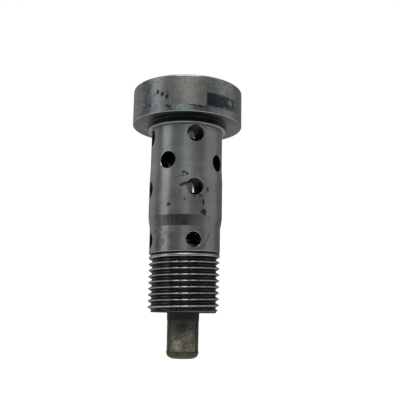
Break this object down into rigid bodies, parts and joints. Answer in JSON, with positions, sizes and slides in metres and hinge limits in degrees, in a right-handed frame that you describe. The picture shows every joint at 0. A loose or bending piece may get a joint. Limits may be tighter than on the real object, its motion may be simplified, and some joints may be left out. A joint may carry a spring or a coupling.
{
  "type": "hydraulic cartridge valve",
  "caption": "Screw-in hydraulic spool valve: round head and collar, barrel with rows of cross ports, coarse external thread and a screened inlet strainer at the tail.",
  "frame": {"origin": "on the valve's axis, in the plane of the seat face under the head", "axes": "+Z along the axis towards the head's front, where an actuator pushes the spool; -Z towards the strainer; +X square to one pair of the drive hexagon's flats"},
  "size_m": [0.0284, 0.0284, 0.068],
  "materials": {
    "body_steel": "turned and heat treated, grey with brown stains, satin",
    "sleeve_steel": "ground, grey, satin",
    "spring_steel": "drawn wire or strip, oiled",
    "washer_steel": "stamped, satin",
    "ring_steel": "blackened spring steel",
    "spool_steel": "ground and polished",
    "button_steel": "hardened, polished",
    "cage_steel": "deep drawn sheet, satin",
    "seat_steel": "turned, satin",
    "ball_steel": "bearing ball, mirror polish",
    "strainer_plastic": "glass-filled polyamide, dark olive, matte",
    "screen_wire": "woven wire cloth, 45 degree weave",
    "seal_rubber": "moulded, matte black"
  },
  "bodies": {
    "housing": {"valve_body": "body_steel", "port_sleeve": "sleeve_steel", "spring_seat": "spring_steel", "return_spring": "spring_steel", "stop_washer": "washer_steel", "retaining_ring": "ring_steel", "check_valve_cage": "cage_steel", "check_valve_seat": "seat_steel", "check_spring": "spring_steel", "strainer_frame": "strainer_plastic", "strainer_seal_ring": "seal_rubber", "strainer_lock_ring": "ring_steel", "strainer_screen_1": "screen_wire", "strainer_screen_2": "screen_wire", "strainer_screen_3": "screen_wire"},
    "spool": {"control_spool": "spool_steel", "spool_button": "button_steel"},
    "ball": {"check_ball": "ball_steel"}
  },
  "joints": [
    {"name": "spool_slide", "type": "slide", "parent": "housing", "child": "spool", "axis": [0, 0, 1], "range_m": [-0.0036, 0], "stiffness_N_per_m": 2000, "springref_m": 0.003, "deforming": ["return_spring"]},
    {"name": "ball_lift", "type": "slide", "parent": "housing", "child": "ball", "axis": [0, 0, 1], "range_m": [0, 0.001], "stiffness_N_per_m": 100, "springref_m": -0.002, "deforming": ["check_spring"]}
  ]
}
